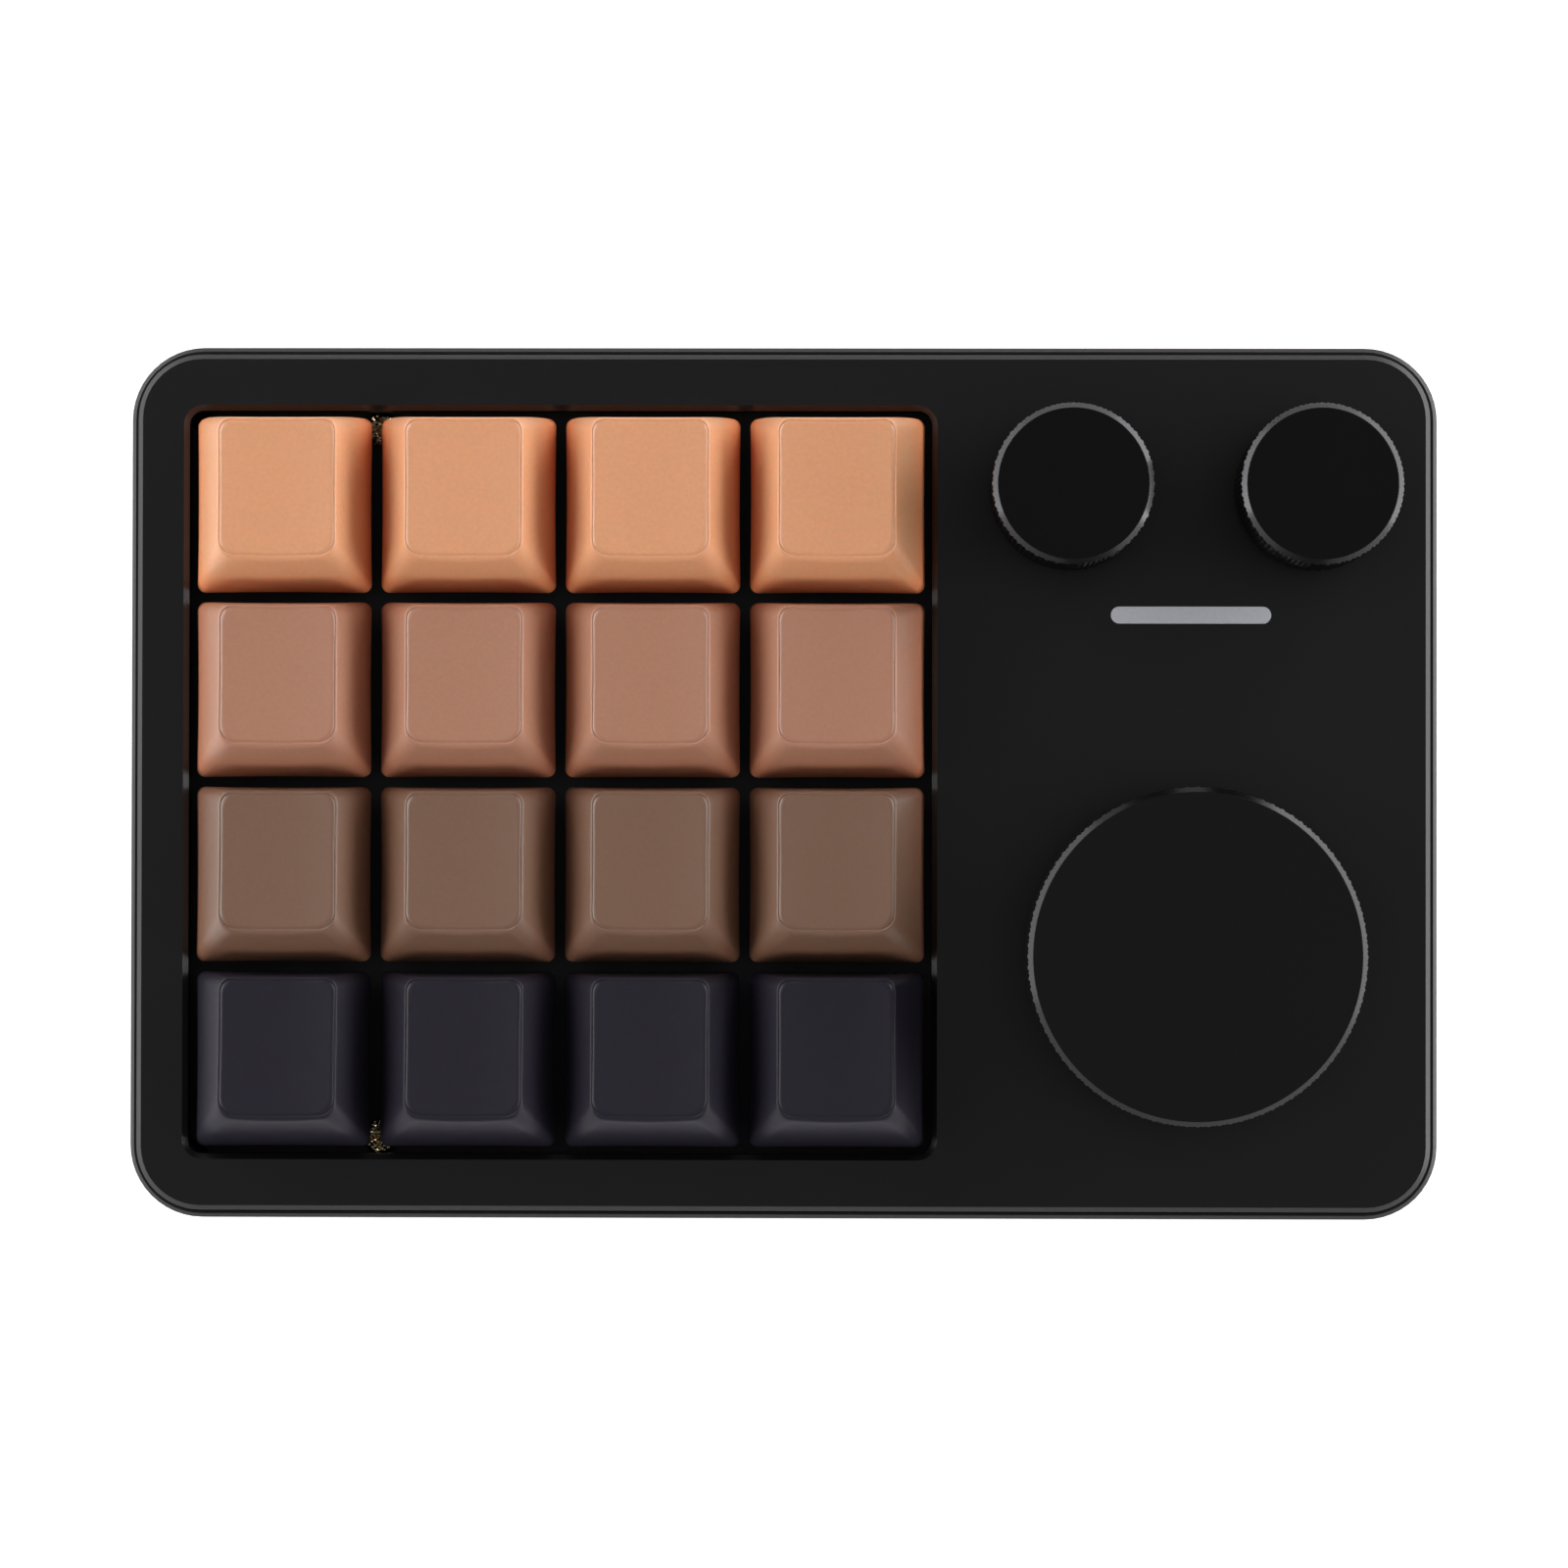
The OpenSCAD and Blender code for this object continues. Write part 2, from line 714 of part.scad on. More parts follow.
module switch_housings_upper() {
    color([0.1, 0.1, 0.11]) at_each_key() housing_upper();
}

module switch_housings_lower() {
    color([0.13, 0.13, 0.14]) at_each_key() housing_lower();
}

module switch_contacts() {
    color("gold")
    at_each_key() for (p = pins) translate([p[0], 0, 0]) {
        translate([0, p[1], 0]) bar(pin_w, pin_t, -housing_d - centre_post_l, body_z + pin_t);
        translate([-pin_w / 2, p[1] - pin_t / 2, body_z + pin_seat])
            cube([pin_w, leaf_y - p[1] + pin_t, strip_h]);
        translate([0, leaf_y, 0]) bar(pin_w, pin_t, body_z + pin_seat, leaf_top);
    }
}

module hot_swap_sockets() {
    color([0.16, 0.15, 0.15])
    at_each_key() {
        top = -housing_d - pcb_t;
        difference() {
            translate([0, 0, top - swap_h]) linear_extrude(swap_h)
                polygon([[-5.9, 1.15], [-0.2, 1.15], [1.6, 2.8], [4.6, 2.8], [4.6, 6.9],
                         [-2.6, 6.9], [-4, 4.8], [-5.9, 4.8]]);
            for (p = pins) translate(p) rod(swap_bore_r, top - swap_h - over, top + over);
            rod(centre_post_r + hole_gap, top - swap_h - over, top + over);
        }
    }
}

// Ring of points round a circle, for a wire that climbs in a helix
function coil_ring(r, wire, a, z, n) = [
    for (i = [0 : n - 1])
        let (b = 360 * i / n, q = r + wire * cos(b)) [q * cos(a), q * sin(a), z + wire * sin(b)]
];

module coil(r, wire, z0, z1, turns, n = 4, steps = 8) {
    last = turns * steps;
    points = [for (s = [0 : last]) each coil_ring(r, wire, 360 * s / steps, z0 + (z1 - z0) * s / last, n)];
    faces = concat(
        [[for (i = [0 : n - 1]) i]],
        [for (s = [0 : last - 1], i = [0 : n - 1])
            let (a = s * n + i, b = s * n + (i + 1) % n) each [[a, a + n, b], [b, a + n, b + n]]],
        [[for (i = [n - 1 : -1 : 0]) last * n + i]]
    );
    polyhedron(points, faces);
}

module switch_springs() {
    color("silver")
    at_each_key() coil(
        (spring_d - spring_wire) / 2, spring_wire / 2,
        body_z + spring_wire / 2 + pin_seat,
        housing_h - slider_roof - spring_wire / 2 - pin_seat, spring_turns);
}

module stem(r, c) {
    p = key_at(r, c);
    color([0.55, 0.14, 0.12])
    translate([p[0], p[1], plate_top]) {
        difference() {
            union() {
                bar(slider_l, slider_w, slider_bottom, housing_h);
                bar(ear_l, ear_w, slider_bottom, housing_h - housing_roof - ear_gap);
            }
            rod(slider_bore_r, slider_bottom - over, housing_h - slider_roof);
        }
        rod(pole_r, slider_bottom - pole_l, housing_h - slider_roof + 0.1);
        bar(cross_l, cross_t, housing_h - 0.1, housing_h + cross_h);
        bar(cross_t, cross_l, housing_h - 0.1, housing_h + cross_h);
    }
}

// ---------- keycaps ----------

// Outline of a cap at one height, as points at even places round a rounded
// rectangle whose sides are drawn in by pinch at their middles
function cap_outline(l, w, r, pinch, back, n) = [
    for (q = [0 : 3], i = [0 : n + 2])
        let (
            a = q * 90 + (i < n ? 90 * i / (n - 1) : 90),
            sx = (q == 0 || q == 3) ? 1 : -1,
            sy = (q < 2) ? 1 : -1,
            corner = [sx * (l / 2 - r) + r * cos(a), sy * (w / 2 - r) + r * sin(a)],
            t = i < n ? 0 : (i - n + 1) / 4,
            along = (q % 2 == 0) ? -sx * t * (l - 2 * r) : -sy * t * (w - 2 * r),
            bow = 4 * t * (1 - t) * pinch
        )
        (q % 2 == 0)
            ? [corner[0] + along, corner[1] - sy * bow + back]
            : [corner[0] - sx * bow, corner[1] + along + back]
];

// Middle of a ring of points
function middle(ring) = [
    for (axis = [0 : 2]) let (v = [for (q = ring) q[axis]]) (min(v) + max(v)) / 2
];

// Solid through a list of outlines of equal length, closed by a fan at each end
module skin(rings) {
    n = len(rings[0]);
    m = len(rings);
    points = concat([for (ring = rings) each ring], [middle(rings[0]), middle(rings[m - 1])]);
    faces = concat(
        [for (i = [0 : n - 1]) [i, (i + 1) % n, m * n]],
        [for (k = [0 : m - 2], i = [0 : n - 1])
            let (a = k * n + i, b = k * n + (i + 1) % n) each [[a, a + n, b], [b, a + n, b + n]]],
        [for (i = [0 : n - 1]) let (a = (m - 1) * n) [a + (i + 1) % n, a + i, m * n + 1]]
    );
    polyhedron(points, faces);
}

// The outlines of a cap from skirt (t = 0) to top face (t = 1), pulled in by inset
function cap_rings(height, slope, inset, steps, n) = [
    for (s = [0 : steps])
        let (
            t = s / steps,
            ease = t - cap_bulge * sin(180 * t),
            l = cap_w + (top_w - cap_w) * ease - 2 * inset,
            w = cap_w + (top_l - cap_w) * ease - 2 * inset,
            r = max(skirt_r + (top_r - skirt_r) * t - 0.6 * inset, 0.3),
            back = top_back * ease,
            outline = cap_outline(l, w, r, cap_pinch * (1 - t), back, n)
        )
        [for (q = outline) [q[0], q[1], t * (height - (q[1] - top_back) * tan(slope))]]
];

module keycap(r, c) {
    p = key_at(r, c);
    height = cap_heights[r - 1];
    slope = cap_slopes[r - 1];
    dish_half = top_w / 2 + dish_over;
    dish_r = pow(dish_half, 2) / (2 * dish_depth) + dish_depth / 2;
    inside = height - dish_depth - cap_roof;
    color(cap_colours[r - 1])
    translate([p[0], p[1], skirt_z]) {
        difference() {
            skin(cap_rings(height, slope, 0, cap_steps, cap_corner_n));
            // dish: a trough along the key, which leaves its two long edges up
            translate([0, top_back, height]) rotate([-slope, 0, 0])
                translate([0, 0, dish_r - dish_depth]) rotate([90, 0, 0])
                    cylinder(r = dish_r, h = 2 * cap_w, center = true, $fn = 180);
            cap_hollow(height, slope, inside);
        }
        difference() {
            rod(cap_post_r, cap_post_z, inside + 0.3);
            for (turn = [0, 90]) rotate(turn)
                bar(cross_l + 2 * fit, cross_t + 2 * fit, cap_post_z - over, cross_top + fit);
        }
    }
}

// Hollow of a cap: the outside shape drawn in by the wall, cut off under the roof
module cap_hollow(height, slope, inside) {
    intersection() {
        translate([0, 0, -0.01]) skin(cap_rings(height, slope, cap_wall, 1, 2));
        translate([0, top_back, inside]) rotate([-slope, 0, 0])
            translate([0, 0, -cap_w]) bar(2 * cap_w, 2 * cap_w, -cap_w, cap_w);
    }
}

// ---------- encoders and knobs ----------

module encoder_bodies() {
    color([0.1, 0.16, 0.13])
    at_each(knob_at) translate([0, 0, board_top]) difference() {
        bar(enc_l, enc_w, 0, enc_body_h);
        rod(enc_pocket_r, enc_pocket_z, enc_room_z + over);
        rod(enc_room_r, enc_room_z, enc_room_top);
        rod(enc_neck_r, enc_room_top - over, enc_body_h + over);
    }
}

module encoder_frames() {
    color([0.78, 0.78, 0.76])
    at_each(knob_at) translate([0, 0, board_top]) difference() {
        union() {
            bar(enc_l, enc_w + 2 * enc_frame_t, enc_body_h, enc_body_h + enc_frame_t);
            for (s = [-1, 1]) translate([0, s * (enc_w + enc_frame_t) / 2, 0])
                bar(enc_l / 2, enc_frame_t, 0, enc_body_h + enc_frame_t);
            rod(enc_bush_d / 2, enc_body_h, enc_bush_top);
        }
        rod(shaft_d / 2 + fit, enc_body_h - over, enc_bush_top + over);
    }
}

module push_plunger(i) {
    color([0.85, 0.85, 0.82])
    translate([knob_at[i][0], knob_at[i][1], board_top])
        rotate_extrude() edge_profile(plunger_r, plunger_z, shaft_foot, 0.15, 0.1);
}

// Section of a shaft with a flat, or of its bore when gap is more than zero
module flatted(gap) {
    difference() {
        circle(shaft_d / 2 + gap);
        translate([-shaft_d, shaft_flat - shaft_d / 2 + gap]) square(2 * shaft_d);
    }
}

module shaft(i) {
    color([0.8, 0.8, 0.82])
    translate([knob_at[i][0], knob_at[i][1], board_top]) {
        rod(shaft_d / 2, shaft_foot, enc_bush_top + knob_gap / 2);
        translate([0, 0, enc_bush_top]) linear_extrude(shaft_top - enc_bush_top) flatted(0);
        difference() {
            rod(enc_wheel_r, enc_wheel_z, enc_wheel_z + enc_wheel_h);
            for (k = [0 : detents - 1]) rotate(360 * k / detents)
                translate([enc_wheel_r, 0, 0])
                    rod(detent_r, enc_wheel_z - over, enc_wheel_z + enc_wheel_h + over);
        }
    }
}

// Outline of a straight knurl: flat crests with a groove halfway between them
function knurl_points(r, teeth) = [
    for (k = [0 : teeth - 1], e = [-knurl_land / 2, knurl_land / 2, 0.5])
        let (q = e == 0.5 ? r - knurl_depth : r, a = 360 * (k + e) / teeth) [q * cos(a), q * sin(a)]
];

module knob(i) {
    r = knob_ds[i] / 2;
    teeth = floor(2 * PI * r / knurl_pitch);
    color([0.07, 0.07, 0.08])
    translate([knob_at[i][0], knob_at[i][1], 0]) difference() {
        intersection() {
            union() {
                translate([0, 0, knob_z + knob_collar]) linear_extrude(knob_h - knob_collar)
                    polygon(knurl_points(r, teeth));
                rod(r - knurl_depth - fit, knob_z, knob_z + knob_collar + fit);
            }
            // chamfer round the top: a cone that also trims the teeth
            rotate_extrude() polygon([[0, knob_z - over], [r + over, knob_z - over],
                [r + over, knob_top - knob_chamfer - over], [r - knob_chamfer, knob_top], [0, knob_top]]);
        }
        // hollow underside with a hub in the middle
        difference() {
            rod(r - knob_rim, knob_z - over, knob_z + knob_recess);
            rod(hub_r, knob_z - 2 * over, knob_z + knob_recess + over);
        }
        translate([0, 0, knob_z - over]) linear_extrude(bore_top - knob_z + over) flatted(fit);
    }
}

// ---------- output ----------

top_case();
bottom_case();
light_bar();
switch_plate();
plate_screws();
plate_standoffs();
pcb();
controller_chip();
bar_leds();
usb_socket();
case_screws();
rubber_feet();
switch_housings_upper();
switch_housings_lower();
switch_springs();
switch_contacts();
hot_swap_sockets();
encoder_bodies();
encoder_frames();
for (i = [0 : 2]) {
    knob(i);
    shaft(i);
    push_plunger(i);
}
for (k = key_list) {
    keycap(k[0], k[1]);
    stem(k[0], k[1]);
}
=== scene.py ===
"""Looks of the macro keypad: materials, smooth keycaps, springs and knobs, light and camera."""
import json
import math

import bpy
from mathutils import Euler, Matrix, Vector


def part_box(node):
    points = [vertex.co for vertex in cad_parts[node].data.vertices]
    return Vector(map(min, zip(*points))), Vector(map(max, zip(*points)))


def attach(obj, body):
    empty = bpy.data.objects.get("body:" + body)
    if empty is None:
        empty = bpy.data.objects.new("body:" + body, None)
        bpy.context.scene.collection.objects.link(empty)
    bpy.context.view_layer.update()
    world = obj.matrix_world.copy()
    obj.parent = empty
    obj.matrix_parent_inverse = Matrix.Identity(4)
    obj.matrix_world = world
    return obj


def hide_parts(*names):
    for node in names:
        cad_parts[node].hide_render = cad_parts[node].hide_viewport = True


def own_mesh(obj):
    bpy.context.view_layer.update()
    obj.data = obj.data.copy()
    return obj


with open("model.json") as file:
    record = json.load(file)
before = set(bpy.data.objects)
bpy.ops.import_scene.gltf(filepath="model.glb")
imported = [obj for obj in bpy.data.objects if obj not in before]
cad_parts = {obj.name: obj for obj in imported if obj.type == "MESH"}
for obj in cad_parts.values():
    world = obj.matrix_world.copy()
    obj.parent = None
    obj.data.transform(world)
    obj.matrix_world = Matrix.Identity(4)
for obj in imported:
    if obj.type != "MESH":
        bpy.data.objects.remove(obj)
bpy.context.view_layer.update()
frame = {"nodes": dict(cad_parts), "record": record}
NODES = frame["nodes"]
MM = 0.001


def middle(lo, hi):
    """Middle of a box in X and Y."""
    return (lo.x + hi.x) / 2, (lo.y + hi.y) / 2


# ---------------------------------------------------------------- materials

NOISE_LOW, NOISE_HIGH = 0.3, 0.7     # most values of a noise texture lie between these
WHITE = (1.0, 1.0, 1.0)


class Mat:
    """A node material built round one Principled shader."""

    def __init__(self, name, base, rough, metallic=0.0, specular=0.5):
        self.m = bpy.data.materials.new(name)
        self.m.use_nodes = True
        self.t = self.m.node_tree
        self.bsdf = self.t.nodes["Principled BSDF"]
        self.base, self.rough = base, rough
        self.set("Base Color", (*base, 1.0))
        self.set("Roughness", rough)
        self.set("Metallic", metallic)
        self.set("Specular IOR Level", specular)
        self.coord = self.node("ShaderNodeTexCoord").outputs["Object"]
        self.normal = None

    def node(self, kind, **values):
        n = self.t.nodes.new(kind)
        for key, value in values.items():
            setattr(n, key, value)
        return n

    def link(self, a, b):
        self.t.links.new(a, b)

    def plug(self, value, socket):
        """A number or colour is written on the socket, anything else is linked to it."""
        if isinstance(value, (int, float)):
            socket.default_value = value
        elif isinstance(value, tuple):
            socket.default_value = (*value, 1.0)
        else:
            self.link(value, socket)

    def set(self, socket, value):
        self.bsdf.inputs[socket].default_value = value

    def axes(self):
        """The X, Y and Z of a point, in metres."""
        sep = self.node("ShaderNodeSeparateXYZ")
        self.link(self.coord, sep.inputs[0])
        return sep.outputs

    def noise(self, scale, detail=2.0, rough=0.5, stretch=None):
        vector = self.coord
        if stretch:
            mapping = self.node("ShaderNodeMapping")
            mapping.inputs["Scale"].default_value = stretch
            self.link(self.coord, mapping.inputs["Vector"])
            vector = mapping.outputs["Vector"]
        n = self.node("ShaderNodeTexNoise")
        n.inputs["Scale"].default_value = scale
        n.inputs["Detail"].default_value = detail
        n.inputs["Roughness"].default_value = rough
        self.link(vector, n.inputs["Vector"])
        return n.outputs["Fac"]

    def math(self, op, a, b=0.0):
        n = self.node("ShaderNodeMath", operation=op)
        self.plug(a, n.inputs[0])
        self.plug(b, n.inputs[1])
        return n.outputs[0]

    def span(self, value, lo, hi, out_lo, out_hi):
        n = self.node("ShaderNodeMapRange", clamp=True)
        self.link(value, n.inputs["Value"])
        for key, v in (("From Min", lo), ("From Max", hi), ("To Min", out_lo), ("To Max", out_hi)):
            n.inputs[key].default_value = v
        return n.outputs["Result"]

    def mix(self, fac, a, b, kind="RGBA", blend="MIX"):
        n = self.node("ShaderNodeMix", data_type=kind, blend_type=blend)
        first, result = (6, 2) if kind == "RGBA" else (2, 0)
        self.plug(fac, n.inputs[0])
        self.plug(a, n.inputs[first])
        self.plug(b, n.inputs[first + 1])
        return n.outputs[result]

    def color(self, value):
        self.link(value, self.bsdf.inputs["Base Color"])

    def roughness(self, value):
        self.link(value, self.bsdf.inputs["Roughness"])

    def bump(self, height, strength, distance):
        """Bumps on top of those that the material already has."""
        n = self.node("ShaderNodeBump")
        n.inputs["Strength"].default_value = strength
        n.inputs["Distance"].default_value = distance
        self.link(height, n.inputs["Height"])
        if self.normal is not None:
            self.link(self.normal, n.inputs["Normal"])
        self.normal = n.outputs["Normal"]
        self.link(self.normal, self.bsdf.inputs["Normal"])

    def tint(self, scale, amount, detail=3.0, stretch=None):
        """Variation of the base colour, darker and lighter by amount."""
        fac = self.span(self.noise(scale, detail, stretch=stretch), NOISE_LOW, NOISE_HIGH, 0.0, 1.0)
        low = tuple(c * (1 - amount) for c in self.base)
        high = tuple(min(1.0, c * (1 + amount)) for c in self.base)
        self.color(self.mix(fac, low, high))

    def scatter_rough(self, scale, amount, stretch=None):
        """Variation of the roughness, down and up by amount."""
        fac = self.noise(scale, detail=3.0, stretch=stretch)
        low, high = self.rough - amount, self.rough + amount
        self.roughness(self.span(fac, NOISE_LOW, NOISE_HIGH, low, high))


def blasted(name, base, rough, grain=9000):
    """Bead-blasted, anodised aluminium: fine pits and a grain in the colour."""
    m = Mat(name, base, rough, specular=0.55)
    m.tint(scale=7000, amount=0.12, detail=2.0)
    m.scatter_rough(scale=60, amount=0.008)
    m.bump(m.noise(grain), strength=0.22, distance=0.00003)
    return m


def moulded(name, base, rough, grain=4200, strength=0.3, specular=0.4, milky=0.0):
    """Moulded plastic with a fine matt texture; where it is milky, light spreads inside it."""
    m = Mat(name, base, rough, specular=specular)
    m.set("Subsurface Weight", milky)
    m.set("Subsurface Radius", (1.0, 0.4, 0.2))
    m.set("Subsurface Scale", 0.0008)
    m.tint(scale=2600, amount=0.035, detail=2.0)
    m.scatter_rough(scale=700, amount=0.03)
    m.bump(m.noise(grain, detail=3.0, rough=0.6), strength, distance=0.00004)
    return m


def keycap_plastic(name, base, rough, gloss, milky, deep):
    """Moulded plastic with painted shade: its colour is multiplied by the tone deep at the skirt,
    and less above, a deeper tone that stands in for the shade and bounce light low between the
    caps.
    """
    m = moulded(name, base, rough, specular=gloss, milky=milky)
    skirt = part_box("keycap_r1c1")[0].z
    # painted shade: the colour deepens towards the skirt and fades out above it
    painted_shade_fade = m.span(m.axes()[2], skirt, skirt + PAINTED_SHADE_UP, 0.0, 1.0)
    plain = m.bsdf.inputs["Base Color"].links[0].from_socket
    m.color(m.mix(1.0, plain, m.mix(painted_shade_fade, deep, WHITE), blend="MULTIPLY"))
    return m


def metal(name, base, rough, stretch=(1, 1, 1)):
    """Drawn, stamped or turned metal with fine lines along it."""
    m = Mat(name, base, rough, metallic=1.0)
    m.tint(scale=400, amount=0.08, stretch=stretch)
    m.scatter_rough(scale=1500, amount=0.07, stretch=stretch)
    m.bump(m.noise(5000, stretch=stretch), strength=0.15, distance=0.00002)
    return m


def hammered(name, base, rough):
    """Bright metal broken into small facets, each of which glints by itself."""
    m = metal(name, base, rough)
    cells = m.node("ShaderNodeTexVoronoi", feature="F1")
    cells.inputs["Scale"].default_value = 2600
    m.link(m.coord, cells.inputs["Vector"])
    m.bump(cells.outputs["Distance"], strength=1.0, distance=0.0002)
    return m


def rubber(name, base, rough):
    m = Mat(name, base, rough, specular=0.3)
    m.tint(scale=900, amount=0.2)
    m.bump(m.noise(3500, detail=3.0), strength=0.4, distance=0.00006)
    return m


def board_mask(name, base, rough, track_tones):
    """Black solder mask with fine tracks and pads showing through."""
    m = Mat(name, base, rough)
    bricks = m.node("ShaderNodeTexBrick", offset=0.37, squash=0.6)
    bricks.inputs["Scale"].default_value = 260
    bricks.inputs["Mortar Size"].default_value = 0.06
    bricks.inputs["Row Height"].default_value = 0.12
    m.link(m.coord, bricks.inputs["Vector"])
    tracks = bricks.outputs["Fac"]
    m.color(m.mix(tracks, *track_tones))
    m.scatter_rough(scale=800, amount=0.06)
    m.bump(tracks, strength=0.3, distance=0.00002)
    return m


# knobs, in mm; the crossed knurl is a little shallower than the straight one in the CAD
KNOB_CHAMFER, KNOB_RIM, KNOB_RECESS, HUB_R, COLLAR = 0.6, 2.0, 2.0, 5.0, 0.8
KNURL_PITCH, KNURL_DEPTH, KNURL_LAND, KNURL_HELIX = 1.12, 0.17, 0.4, 30
SHAFT_R, SHAFT_FLAT, FIT, BORE_TOP = 3.0, 4.5, 0.05, 10.3

# tone of a knob's faces and of the cut on its chamfer, set knob by knob; the differences are
# painted light: the main knob's lighter face and darker cut stand in for the different light that
# falls on it
KNOB_TONES_WITH_PAINTED_LIGHT = {
    "knob_left": (0.0010, 0.072),
    "knob_right": (0.0010, 0.068),
    "knob_main": (0.0036, 0.047),
}
KNOB_ROUGH, CUT_ROUGH = (0.24, 0.27), 0.2
FACE_BLUE, CUT_BLUE = 0.0002, 1.03   # added to the faces' blue, and factor on the cut's blue
CUT_DEPTH = 0.03                     # a point counts as cut this close to the chamfer's cone
FACE_DEPTH = 0.01                    # and at least this far under the top face


def knob_material(name):
    """Blasted knob, with a finer and glossier cut on the chamfer round its top face."""
    # painted light: the face and cut tones differ from knob to knob for the light each one gets
    face, bright = KNOB_TONES_WITH_PAINTED_LIGHT[name]
    m = Mat(name + "_anodised", (face, face, face + FACE_BLUE), rough=0.26, specular=0.31)
    lo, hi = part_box(name)
    centre = middle(lo, hi)
    flat_r = (hi.x - lo.x) / 2 - KNOB_CHAMFER * MM
    x, y, z = m.axes()
    dx = m.math("SUBTRACT", x, centre[0])
    dy = m.math("SUBTRACT", y, centre[1])
    r = m.math("SQRT", m.math("ADD", m.math("MULTIPLY", dx, dx), m.math("MULTIPLY", dy, dy)))
    # on the chamfer, height and radius add up to a constant
    along = m.math("ADD", m.math("SUBTRACT", z, hi.z), m.math("SUBTRACT", r, flat_r))
    below = m.math("LESS_THAN", z, hi.z - FACE_DEPTH * MM)
    near = m.math("LESS_THAN", m.math("ABSOLUTE", along), CUT_DEPTH * MM)
    cut = m.math("MULTIPLY", below, near)
    m.color(m.mix(cut, m.base, (bright, bright, bright * CUT_BLUE)))
    m.link(cut, m.bsdf.inputs["Metallic"])
    rough = m.span(m.noise(60), NOISE_LOW, NOISE_HIGH, *KNOB_ROUGH)
    m.roughness(m.mix(cut, rough, CUT_ROUGH, kind="FLOAT"))
    pits = m.math("MULTIPLY", m.noise(9000), m.math("SUBTRACT", 1.0, cut))
    m.bump(pits, strength=0.2, distance=0.00003)
    return m


# the record's slots: recipe, base colour, roughness and what else the recipe takes
FINISHES = {
    "case_anodised": (blasted, (0.0007, 0.0007, 0.0010), 0.36, {}),
    "light_bar": (moulded, (0.40, 0.40, 0.44), 0.34,
                  {"grain": 1500, "strength": 0.05, "specular": 0.5}),
    "plate_black": (blasted, (0.009, 0.009, 0.010), 0.5, {"grain": 6000}),
    "screw_brass": (hammered, (1.0, 0.78, 0.50), 0.12, {}),
    "standoff_brass": (metal, (0.78, 0.58, 0.28), 0.3, {"stretch": (1, 1, 12)}),
    "board": (board_mask, (0.008, 0.011, 0.012), 0.3,
              {"track_tones": ((0.007, 0.010, 0.011), (0.016, 0.022, 0.022))}),
    "chip": (moulded, (0.014, 0.014, 0.015), 0.5, {}),
    "led": (moulded, (0.78, 0.74, 0.55), 0.25, {"strength": 0.05}),
    "socket_steel": (metal, (0.62, 0.62, 0.64), 0.28, {"stretch": (1, 8, 1)}),
    "screw_black": (metal, (0.06, 0.06, 0.066), 0.38, {}),
    "rubber": (rubber, (0.016, 0.016, 0.017), 0.8, {}),
    "housing_upper": (moulded, (0.012, 0.012, 0.013), 0.45, {}),
    "housing_lower": (moulded, (0.015, 0.015, 0.017), 0.5, {}),
    "spring_steel": (metal, (0.60, 0.60, 0.61), 0.2, {}),
    "contact_gold": (metal, (0.86, 0.62, 0.26), 0.25, {"stretch": (1, 1, 6)}),
    "hot_swap": (moulded, (0.018, 0.016, 0.016), 0.55, {}),
    "encoder_base": (moulded, (0.012, 0.026, 0.020), 0.5, {}),
    "encoder_metal": (metal, (0.60, 0.60, 0.59), 0.3, {}),
    "shaft_metal": (metal, (0.66, 0.66, 0.68), 0.26, {"stretch": (1, 1, 10)}),
    "plunger": (moulded, (0.62, 0.62, 0.58), 0.45, {}),
    "stem": (moulded, (0.32, 0.035, 0.028), 0.35, {}),
}

# the caps' rows from the rear: colour, gloss, share of light that spreads inside, painted shade at
# the skirt (a deeper tone standing in for the shade and bounce light low between the caps)
ROW_LOOKS = [
    ((0.62, 0.298, 0.153), 0.85, 0.5, (1.38, 0.93, 0.72)),
    ((0.360, 0.173, 0.108), 0.8, 0.4, (1.28, 0.95, 0.80)),
    ((0.163, 0.089, 0.057), 0.7, 0.3, (1.2, 0.96, 0.86)),
    ((0.0152, 0.0133, 0.0200), 0.25, 0.0, WHITE),
]
PAINTED_SHADE_UP = 0.0060                     # height above the skirt, in metres, at which its painted shade ends
CAP_ROUGH, LINE_ROUGH, LINE_GLOSS = 0.38, 0.7, 0.1

MATS = {name: recipe(name, base, rough, **more)
        for name, (recipe, base, rough, more) in FINISHES.items()}
for i, (colour, gloss, milky, deep) in enumerate(ROW_LOOKS):
    row_name = f"keycap_row_{i + 1}"
    MATS[row_name] = keycap_plastic(row_name, colour, CAP_ROUGH, gloss, milky, deep)
    MATS[row_name + "_line"] = moulded(row_name + "_line", colour, LINE_ROUGH, specular=LINE_GLOSS)

slots = {s["node"]: s["material_slot"] for s in frame["record"]["subparts"]}
for name, obj in NODES.items():
    finish = knob_material(name) if slots[name] == "knob_anodised" else MATS[slots[name]]
    obj.data.materials.clear()
    obj.data.materials.append(finish.m)


def soften(obj, width):
    """Rounds the sharp edges a little, so that they catch the light."""
    b = obj.modifiers.new("edges", "BEVEL")
    b.width = width
    b.segments = 2
    b.limit_method = "ANGLE"
    b.angle_limit = math.radians(35)
    b.harden_normals = True
    b.use_clamp_overlap = True


def placed(points, x0, y0, z0):
    """Points in mm, set down in the frame in metres."""
    return [(x0 + x * MM, y0 + y * MM, z0 + z * MM) for x, y, z in points]


def add_object(name, verts, faces, mats):
    mesh = bpy.data.meshes.new(name)
    mesh.from_pydata(verts, [], faces)
    mesh.update()
    for mat in mats:
        mesh.materials.append(mat)
    obj = bpy.data.objects.new(name, mesh)
    bpy.context.scene.collection.objects.link(obj)
    return obj


# ---------------------------------------------------------------- keycaps

